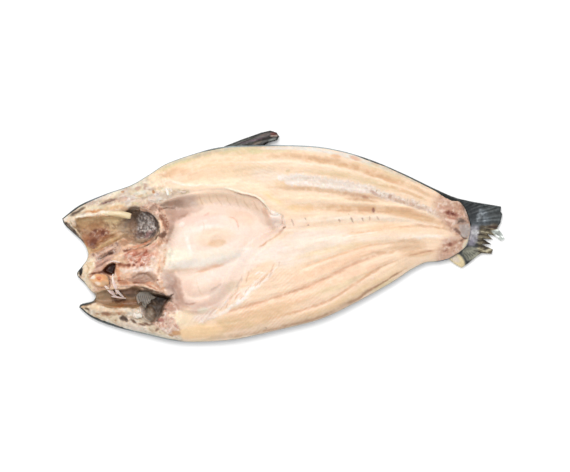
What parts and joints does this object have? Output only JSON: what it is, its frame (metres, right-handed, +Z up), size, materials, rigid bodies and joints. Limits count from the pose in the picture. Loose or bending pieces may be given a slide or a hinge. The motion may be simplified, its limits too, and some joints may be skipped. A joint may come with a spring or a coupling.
{
  "type": "butterflied pangasius",
  "caption": "Whole raw catfish split along the back, gutted and laid open flat, flesh side up, with its head, tail fin and the stump of its dorsal fin.",
  "frame": {"origin": "on the flat of the skin side, under the middle of the fish", "axes": "+X along the fish from the jaws to the tail, +Y towards the half with the dorsal fin, +Z up out of the cut flesh"},
  "size_m": [0.4202, 0.1967, 0.0247],
  "materials": {
    "raw_flesh": "wet raw flesh, satin with small highlights"
  },
  "bodies": {
    "root": {"butterflied_fish": "raw_flesh"}
  },
  "joints": []
}
